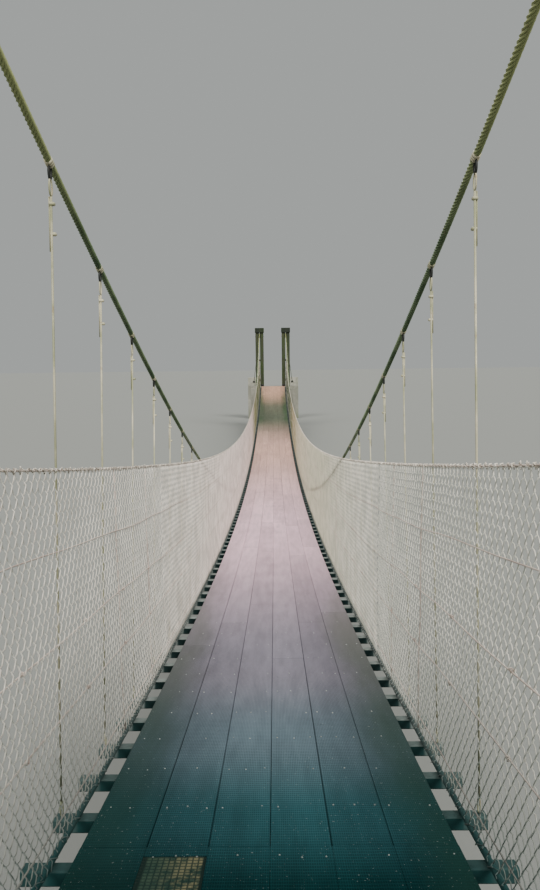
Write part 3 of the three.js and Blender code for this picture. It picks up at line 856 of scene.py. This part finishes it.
def mesh_wires(side, first, last, close):
    """The interlinked zigzag wires of chain link between two places along the bridge.

    The legs that rise towards the far end lie inside on the left and outside on the right, as all
    wires are wound the same way, and look the lighter ones, as painted shade darkens the legs that
    rise towards the near end. Close up each leg has two points of its own, further off only its ends."""
    columns = np.arange(first, last)
    base = -HALF_LENGTH + columns * MESH_COLUMN
    rows = int((HANDRAIL_HEIGHT - MESH_BOTTOM) / MESH_ROW)
    bends = np.arange(rows + 1)
    swing = ((bends[None, :] + columns[:, None]) % 2).astype(float)
    swing += rng.uniform(-SWING_PLAY, SWING_PLAY, swing.shape)
    lift = rng.uniform(-LIFT_PLAY, LIFT_PLAY, swing.shape)
    lift[:, (0, -1)] = 0.0
    if close:
        shares = np.array(LEG_POINTS)
        low = np.repeat(swing[:, :-1], 2, axis=1)
        high = np.repeat(swing[:, 1:], 2, axis=1)
        share = np.tile(shares, rows)[None, :]
        swings = low + (high - low) * share
        raised = (bends[:-1, None] + shares).ravel() + np.repeat(lift[:, :-1], 2, axis=1)
        inside = -side * np.sign(high - low) * MESH_RIDGE
        # Painted shade, deepest on the legs that rise towards the near end
        (far_low, far_high), (near_low, near_high) = LEG_TONES[side]
        upper = share > 0.5
        dark = np.where(high > low, np.where(upper, far_high, far_low), np.where(upper, near_high, near_low))
    else:
        swings, raised = swing, bends + lift
        inside = dark = np.zeros_like(swings)
    share = raised / rows
    y = np.clip(base[:, None] + swings * MESH_COLUMN, *between_posts(MESH_POST_GAP))
    sag_in = 0.012 * np.sin(base * 1.3 + side)[:, None] * np.sin(share * math.pi) ** 2
    sag_down = 0.005 * np.sin(base * 2.3)[:, None] * np.sin(share * math.pi)
    foot = deck_height(y) + MESH_BOTTOM
    z = foot + share * (handrail_height(y) + MESH_TOP_LIFT - foot) + sag_down
    x = side * (RAIL_X - inside + sag_in)
    tones = TONE_PLAY * rng.uniform(0, 1, len(columns))[:, None] + dark
    return *sweep(places(x, y, z), MESH_WIRE_RADIUS, 3), np.repeat(tones.ravel(), 3)


def make_mesh_sides():
    columns = int(2 * HALF_LENGTH / MESH_COLUMN)
    for side, side_name in ((-1, "left"), (1, "right")):
        for number in range(1, SECTIONS + 1):
            builder = MeshBuilder()
            first = columns * (number - 1) // SECTIONS
            last = columns * number // SECTIONS
            close = int((CLOSE_TO_Y + HALF_LENGTH) / MESH_COLUMN) if number == 1 else first
            if close > first:
                builder.add(*mesh_wires(side, first, close, True))
            builder.add(*mesh_wires(side, close, last, False))
            piece = builder.build(f"chain_link_{side_name}_{number}", mesh_metals[side_name], "mesh_wire")
            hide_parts(f"mesh_panel_{side_name}_{number}")


def tie(side, y, height):
    """A few turns of wire round a line wire and the mesh beside it."""
    angle = np.linspace(0, TIE_TURNS * 2 * math.pi, 13)
    reach = TIE_RADIUS + 0.002 * np.sin(angle * 1.7)
    points = places(side * LINE_X + reach * np.cos(angle), y + TIE_ADVANCE * angle / math.pi,
                    deck_height(y) + height + reach * np.sin(angle))
    return sweep(points, TIE_WIRE_RADIUS, 3)


def make_line_wires():
    """Wires that run along the inside of the mesh, tied to it, and the pairs at its seams."""
    builder = MeshBuilder()
    ys = np.linspace(*between_posts(LINE_POST_GAP), LINE_POINTS)
    for side in (-1, 1):
        for height, dip in LINE_WIRES:
            wave = 0.006 * np.sin(ys * 2.1 + height * 9) + 0.004 * np.sin(ys * 5.3 + side)
            wave -= end_dip(ys, dip, LINE_DIP_REACH)
            x = side * LINE_X + 0.0015 * np.sin(ys * 7.0)
            path = places(x, ys, deck_height(ys) + height + wave)
            builder.add(*sweep(path, LINE_WIRE_RADIUS, 5), 0.3)
            for place in ys[(np.abs(ys) > TIES_FROM_Y) & (dip > 0)][::TIE_EVERY]:
                builder.add(*tie(side, place, height - float(end_dip(place, dip, LINE_DIP_REACH))), 0.0)
        for y in SEAM_PLACES:
            zs = np.linspace(deck_height(y) - 0.02, handrail_height(y), 8)
            for shift in SEAM_WIRE_SHIFTS:
                x = side * SEAM_WIRE_X + 0.003 * np.sin(zs * 9 + y)
                path = places(x, y + shift + 0.003 * np.sin(zs * 14 + shift * 500), zs)
                builder.add(*sweep(path, SEAM_WIRE_RADIUS, 4), 0.6)
    builder.build("line_wires", line_metal, "mesh_wire")


# Handrails and lacing
RAIL_STEP = 0.03
RAIL_POST_GAP = 0.002
RAIL_LOBES = 3 * [1.0, 0.8]
LACING_POST_GAP = 0.03
LACING_PITCH = 2 * MESH_COLUMN
FOOT_LACING_PITCH = 2.5 * LACING_PITCH
FOOT_SPREAD = 1.4


def wound_wire(side, ys, heights, radius, pitch):
    """A wire that winds round a line along the bridge."""
    angle = ys / pitch * 2 * math.pi
    x = side * RAIL_X + radius * np.cos(angle)
    return sweep(places(x, ys, heights + radius * np.sin(angle)), MESH_WIRE_RADIUS, 3)


def knuckles(side, height, spread):
    """The mesh's cut wire ends, bent over inwards at a height that is a function of Y."""
    columns = np.arange(0, int(2 * HALF_LENGTH / MESH_COLUMN), 2)
    count = len(columns)
    y = -HALF_LENGTH + columns * MESH_COLUMN + rng.uniform(-0.010, 0.010, count)
    rise = rng.uniform(-0.004, 0.022, count) * spread
    lean = rng.uniform(-0.016, 0.016, count) * spread
    inner = side * (RAIL_X - 0.008 - rng.uniform(0.0, 0.006, count))
    top = height(y)
    points = np.stack([
        places(side * (RAIL_X + 0.006), y + 0.012, top - 0.016),
        places(side * (RAIL_X + 0.004), y + 0.010, top + 0.008),
        places(inner, y - 0.006, top + 0.007),
        places(inner + side * lean * 0.3, y - 0.020 + lean, top + rise - 0.004),
    ], 1)
    return sweep(points, MESH_WIRE_RADIUS, 3, aside=(0.3, 0.2, 1.0))


def mesh_foot(y):
    return deck_height(y) - 0.02


def make_handrails():
    """Twisted handrail cable, the wires that lace the mesh to it and to the bar, and its cut ends."""
    for side, side_name in ((-1, "left"), (1, "right")):
        rope = MeshBuilder()
        ys = np.arange(*between_posts(RAIL_POST_GAP), RAIL_STEP)
        path = places(side * RAIL_X, ys, handrail_height(ys))
        twist = math.pi / 3 * np.arange(len(ys))
        rope.add(*sweep(path, HANDRAIL_RADIUS, len(RAIL_LOBES), twist=twist, lobes=RAIL_LOBES), 0.1)
        piece = rope.build(f"handrail_rope_{side_name}", handrail_metal, "mesh_wire")
        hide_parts(f"handrail_cable_{side_name}")
        lacing = MeshBuilder()
        ys = np.arange(*between_posts(LACING_POST_GAP), LACING_PITCH / 4)
        reach = HANDRAIL_RADIUS + 0.0022 + 0.0010 * np.sin(ys * 11.0)
        lacing.add(*wound_wire(side, ys, handrail_height(ys), reach, -LACING_PITCH), 0.0)
        lacing.add(*knuckles(side, handrail_height, 1.0), 0.1)
        lacing.build(f"lacing_{side_name}", lacing_metal, "mesh_wire")
        foot_lacing = MeshBuilder()
        ys = np.arange(*between_posts(LACING_POST_GAP), LACING_PITCH / 2)
        reach = EDGE_BAR_RADIUS + 0.0030 + 0.0015 * np.sin(ys * 9.0)
        foot_lacing.add(*wound_wire(side, ys, edge_bar_height(ys), reach, side * FOOT_LACING_PITCH), 0.3)
        foot_lacing.add(*knuckles(side, mesh_foot, FOOT_SPREAD), 0.1)
        foot_lacing.build(f"foot_lacing_{side_name}", foot_metal, "mesh_wire")


# Main cables, hangers and clamps
ROPE_LOBES = ROPE_STRANDS * [0.80, 1.04]
ROPE_COARSE_SIDES = 8
TURN_SHIFTS = (-0.011, 0.0, 0.011)
TURN_PROFILE = ((-0.0055, 0.0005), (-0.003, 0.004), (0.003, 0.004), (0.0055, 0.0005))
HANGER_FOOT_RISE = 0.002
SHORT_HANGER = 0.22
THIMBLE_SIZE = (0.030, 0.055)
THIMBLE_WIRE = 0.0055
EYE_SIZE = (0.034, 0.07)
TAIL_RADIUS = 0.0042
TAIL_LENGTH = 0.22
ONE_CLIP_HANGER = 0.6
CLIP_DROPS = (0.030, 0.150)
LOOP_SIDES = 4
LOOP_POINTS = 11


def make_main_cables():
    """Wire ropes of six strands, formed near the eye and relief further off.

    The ends of the formed stretch lie under the turns of two hangers. The lay attribute says where
    a point lies round the rope, as a direction, and by how many strands they have turned there."""
    for side, side_name in ((-1, "left"), (1, "right")):
        builder = MeshBuilder()
        fine = cable_route(side, ROPE_FINE_STEP)
        run = np.concatenate([[0], np.cumsum(np.linalg.norm(np.diff(fine, axis=0), axis=1))])
        turns = run / STRAND_SPACING / ROPE_STRANDS
        starts, ends = np.searchsorted(fine[:, 1], np.array(ROPE_CLOSE_HANGERS) * HANGER_HEAD_SPACING)
        lay = []
        for first, last, step, sides, lobes in (
                (0, starts, ROPE_COARSE, ROPE_COARSE_SIDES, None),
                (starts, ends, 1, len(ROPE_LOBES), ROPE_LOBES),
                (ends, len(fine) - 1, ROPE_COARSE, ROPE_COARSE_SIDES, None)):
            picked = np.unique(np.append(np.arange(first, last, step), last))
            twist = np.zeros(len(picked)) if lobes is None else 2 * math.pi * turns[picked]
            builder.add(*sweep(fine[picked], CABLE_RADIUS, sides, twist=twist, lobes=lobes), 0.3)
            angle = ring_angles(sides, twist[:, None])
            strand = -ROPE_STRANDS * turns[picked][:, None]
            lay.append(places(np.cos(angle), np.sin(angle), strand).reshape(-1, 3))
        piece = builder.build(f"main_rope_{side_name}", rope_metal, "wire_rope")
        attribute = piece.data.attributes.new("lay", "FLOAT_VECTOR", "POINT")
        attribute.data.foreach_set("vector", np.vstack(lay).astype(np.float32).ravel())
        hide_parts(f"main_cable_{side_name}")


def loop(centre, width, height, wire):
    """A closed oval loop in the plane of Y and Z, as an open sweep whose ends meet."""
    angle = np.linspace(0, 2 * math.pi, LOOP_POINTS)
    points = places(centre[0], centre[1] + width / 2 * np.sin(angle),
                    centre[2] - height / 2 * np.cos(angle))
    return sweep(points, wire, LOOP_SIDES)


def hanger(rods, grips, side, y, foot_y):
    """Turns round the cable, a dark thimble, a rod between two eyes, clips and a loose tail."""
    x = side * float(cable_x(y))
    low_x = side * HANGER_FOOT_X
    foot = float(deck_height(foot_y)) - PLANK_THICKNESS + HANGER_FOOT_RISE
    head = float(cable_height(y)) - CABLE_RADIUS
    slope = 2 * cable_rise * y / hang_y ** 2
    reach, girth = np.array(TURN_PROFILE).T
    for shift in TURN_SHIFTS:
        turn = places(x, y + shift + reach, head + CABLE_RADIUS + slope * (shift + reach))
        rods.add(*sweep(turn, CABLE_RADIUS + girth, 6), rng.uniform(0.2, 0.8))
    length = head - foot
    if length < SHORT_HANGER:
        rods.add(*sweep([(low_x, foot_y, foot), (x, y, head)], HANGER_RADIUS, 6), 0.4)
        return
    thimble = min(THIMBLE_SIZE[1], length / 5)
    grips.add(*loop((x, y, head - thimble / 2 + 0.004), THIMBLE_SIZE[0], thimble, THIMBLE_WIRE),
              rng.uniform(0, 1))
    eye = min(EYE_SIZE[1], length / 4)
    eye_top = head - thimble + 0.008
    sway = rng.uniform(-0.004, 0.004, 2)
    middle = ((x + low_x) / 2 + sway[1] * 0.5, (y + foot_y) / 2 + sway[0], (foot + head) / 2)
    points = [(low_x, foot_y, foot + eye), middle, (x, y, eye_top - eye)]
    rods.add(*sweep(points, HANGER_RADIUS, 6), rng.uniform(0, 1))
    rods.add(*loop((x, y, eye_top - eye / 2), EYE_SIZE[0], eye, TAIL_RADIUS), 0.5)
    rods.add(*loop((low_x, foot_y, foot + eye / 2), EYE_SIZE[0], eye, TAIL_RADIUS), 0.5)
    drop = min(TAIL_LENGTH, length / 4)
    lean = np.array([low_x - x, foot_y - y]) * drop / length
    tail = [(x + side * 0.009, y + 0.004, eye_top - eye),
            (x + side * 0.008 + lean[0], y + 0.006 + lean[1], eye_top - eye - drop)]
    rods.add(*sweep(tail, TAIL_RADIUS, 5), 0.6)
    for clip in CLIP_DROPS[:2 if length > ONE_CLIP_HANGER else 1]:
        z = eye_top - eye - clip
        rods.add(*bevelled_box((x - 0.010, y - 0.009, z - 0.007), (x + 0.014, y + 0.012, z + 0.007), 0.003),
                 0.2)


def make_hangers():
    """A hanger at every second transom, its head nearer to mid-span than its foot."""
    rods = MeshBuilder()
    grips = MeshBuilder()
    for side in (-1, 1):
        for i in range(-TRANSOMS_EACH_WAY + 1, TRANSOMS_EACH_WAY, HANGER_EVERY):
            hanger(rods, grips, side, i * HANGER_HEAD_SPACING, i * TRANSOM_SPACING)
    rods.build("hangers", hanger_metal, "wire_rope")
    grips.build("hanger_thimbles", clamp_metal, "saddle_steel")


# Towers, abutments and anchors
BOLT_PROFILE = ((1.25, 0.0), (1.25, 0.18), (1.0, 0.18), (1.0, 0.85), (0.85, 1.0))
AXIS_ORDER = {"X": (2, 0, 1), "Y": (1, 2, 0), "Z": (0, 1, 2)}
SPACER_HEIGHTS = (0.40, 1.70)
SPACER_HALF = (0.06, 0.05)
SPACER_GAP = 0.002
THROUGH_BOLT = (0.013, 0.018)
THROUGH_BOLT_SHIFTS = (-0.045, 0.045)
TOP_BOLT_UNDER_CAP = 0.25
SHOE_THICKNESS = 0.012
SHOE_FROM_POST = 0.007
SHOE_INSET = 0.020
SHOE_HEIGHT = 0.14
SHOE_BOLT = (0.011, 0.012)
SHOE_BOLT_SHIFTS = (-0.06, 0.06)
SOCKET_RINGS = ((0.02, 0.085, 0.03), (0.09, 0.045, 0.11), (0.45, 0.028, 0.05), (0.62, 0.028, 0.05),
                (0.79, 0.028, 0.05))
SOCKET_EDGE = 0.004


def bolt(builder, centre, axis, size):
    """A six-sided bolt head with an eased top, its axis along X, Y or Z, of a radius and height."""
    radius, height = size
    around = ring_angles(6)
    rings = np.array([places(share * radius * np.cos(around), share * radius * np.sin(around),
                             up * height) for share, up in BOLT_PROFILE])
    if axis.startswith("-"):
        rings = rings * (1, -1, -1)
    rings = rings[..., AXIS_ORDER[axis[-1]]] + np.asarray(centre)
    builder.add(*prisms([rings]), 0.5)


def tower_spacers(builder, end, side, inner_face, outer_face):
    """Blocks between the two posts of a pair."""
    xs = sorted((side * (inner_face + SPACER_GAP), side * (outer_face - SPACER_GAP)))
    for z in (LEVEL + height for height in SPACER_HEIGHTS):
        low = (xs[0], end * TOWER_Y - SPACER_HALF[0], z - SPACER_HALF[1])
        high = (xs[1], end * TOWER_Y + SPACER_HALF[0], z + SPACER_HALF[1])
        builder.add(*bevelled_box(low, high, 0.004), 0.6)


def post_shoes(builder, end, x):
    """Plates on the near and far faces of a post's foot, with two bolts each."""
    half_width = POST_WIDTH / 2 - SHOE_INSET
    for dy, axis in ((-1, "-Y"), (1, "Y")):
        edge = end * TOWER_Y + dy * (POST_WIDTH / 2 + SHOE_FROM_POST)
        low = (x - half_width, edge - SHOE_THICKNESS / 2, LEVEL + 0.001)
        high = (x + half_width, edge + SHOE_THICKNESS / 2, LEVEL + SHOE_HEIGHT)
        builder.add(*bevelled_box(low, high, 0.003), 0.9)
        for dx in SHOE_BOLT_SHIFTS:
            place = (x + dx, edge + dy * SHOE_THICKNESS / 2, LEVEL + SHOE_HEIGHT / 2)
            bolt(builder, place, axis, SHOE_BOLT)


def make_tower_fittings():
    """Spacers and through-bolts that tie each pair of posts, and the shoes that they stand in."""
    builder = MeshBuilder()
    inner = real_box("far_right_inner_post")
    outer = real_box("far_right_outer_post")
    bolt_heights = (*(LEVEL + height for height in SPACER_HEIGHTS), CAP_BOTTOM - TOP_BOLT_UNDER_CAP)
    for end in (-1, 1):
        for side in (-1, 1):
            tower_spacers(builder, end, side, inner[1][0], outer[0][0])
            for z in bolt_heights:
                for face, toward in ((outer[1][0], side), (inner[0][0], -side)):
                    for dy in THROUGH_BOLT_SHIFTS:
                        place = (side * face - toward * 0.002, end * TOWER_Y + dy, z)
                        bolt(builder, place, "X" if toward > 0 else "-X", THROUGH_BOLT)
            for post in (inner, outer):
                post_shoes(builder, end, side * (post[0][0] + post[1][0]) / 2)
    builder.build("tower_bolts_and_shoes", clamp_metal, "saddle_steel")


def make_anchor_fittings():
    """Socket plates where the main cables go into the anchor blocks, with rope grips."""
    builder = MeshBuilder()
    for side in (-1, 1):
        route = cable_route(side, 0.25)
        for sign in (-1, 1):
            tip = route[-1] * (1, sign, 1)
            back = route[-2] * (1, sign, 1)
            along = (tip - back) / np.linalg.norm(tip - back)
            for distance, radius, width in SOCKET_RINGS:
                reach = np.array([-width / 2, SOCKET_EDGE - width / 2, width / 2 - SOCKET_EDGE, width / 2])
                stations = tip - along * distance + reach[:, None] * along
                taper = radius - SOCKET_EDGE * np.array([1, 0, 0, 1])
                builder.add(*sweep(stations, taper, 12), rng.uniform(0, 1))
    builder.build("anchor_sockets", clamp_metal, "saddle_steel")


def dress_solids():
    """Materials of the solids that show, and of those that pieces of this script replace."""
    kinds = {("abutment", "anchor_block"): concrete, ("post",): post_timber, ("post_cap",): cap_timber,
             ("saddle",): clamp_metal}
    for name, solid in frame["nodes"].items():
        material = next((m for ends, m in kinds.items() if name.endswith(ends)), rope_metal)
        for material_slot in solid.material_slots:
            material_slot.material = material
        if not solid.material_slots:
            solid.data.materials.append(material)


# Studio
FLOOR_REACH = 160.0
FLOOR_DROP = 0.002
FLOOR_COLOR = (0.20, 0.21, 0.20, 1)
SKY_COLOR = (0.86, 0.90, 0.88, 1)
SKY_STRENGTH = 0.46
SUN_COLOR = (1.0, 0.97, 0.91)
SUN_SOFTNESS_DEG = 30
SUNS = (
    ("key_left", 2.2, (0.45, 0.60, -0.66)),
    ("key_right", 3.6, (-0.45, 0.60, -0.66)),
    ("fill", 0.9, (0.0, -0.75, -0.66)),
)
CLIP_START = 0.05
CLIP_END = 500.0


def make_studio():
    floor_mesh = bpy.data.meshes.new("studio_floor")
    corners = [(x * FLOOR_REACH, y * FLOOR_REACH, 0) for x, y in ((-1, -1), (1, -1), (1, 1), (-1, 1))]
    floor_mesh.from_pydata(corners, [], [(0, 1, 2, 3)])
    floor = bpy.data.objects.new("studio_floor", floor_mesh)
    floor.location.z = -FLOOR_DROP
    bpy.context.scene.collection.objects.link(floor)
    pale = bpy.data.materials.new("studio_floor")
    pale.use_nodes = True
    surface = pale.node_tree.nodes["Principled BSDF"]
    surface.inputs["Base Color"].default_value = FLOOR_COLOR
    surface.inputs["Roughness"].default_value = 0.95
    floor_mesh.materials.append(pale)
    world = bpy.data.worlds.new("studio")
    bpy.context.scene.world = world
    world.use_nodes = True
    background = world.node_tree.nodes["Background"]
    background.inputs["Color"].default_value = SKY_COLOR
    background.inputs["Strength"].default_value = SKY_STRENGTH
    for name, strength, direction in SUNS:
        light = bpy.data.lights.new(name, "SUN")
        light.energy = strength
        light.angle = math.radians(SUN_SOFTNESS_DEG)
        light.color = SUN_COLOR
        lamp = bpy.data.objects.new(name, light)
        lamp.rotation_euler = Vector(direction).to_track_quat("-Z", "Y").to_euler()
        bpy.context.scene.collection.objects.link(lamp)


def make_camera():
    lens = bpy.data.cameras.new("photo_camera")
    lens.sensor_fit = "VERTICAL"
    lens.sensor_height = SENSOR_MM
    lens.lens = FOCAL_PIXELS / PHOTO_HEIGHT * SENSOR_MM
    lens.clip_start = CLIP_START
    lens.clip_end = CLIP_END
    camera = bpy.data.objects.new("photo_camera", lens)
    camera.location = Vector((EYE_SIDE, -TOWER_Y - EYE_BEHIND_TOWER, LEVEL + EYE_ABOVE_LEVEL)) * SCALE
    facing = Euler((math.radians(90 - PITCH_DEG), 0, math.radians(YAW_DEG))).to_matrix()
    camera.rotation_euler = (facing @ Matrix.Rotation(math.radians(-ROLL_DEG), 3, "Z")).to_euler()
    bpy.context.scene.collection.objects.link(camera)
    bpy.context.scene.camera = camera


make_camera()
make_studio()
dress_solids()
make_deck()
make_screws()
make_frames()
make_mesh_sides()
make_line_wires()
make_handrails()
make_main_cables()
make_hangers()
make_tower_fittings()
make_anchor_fittings()
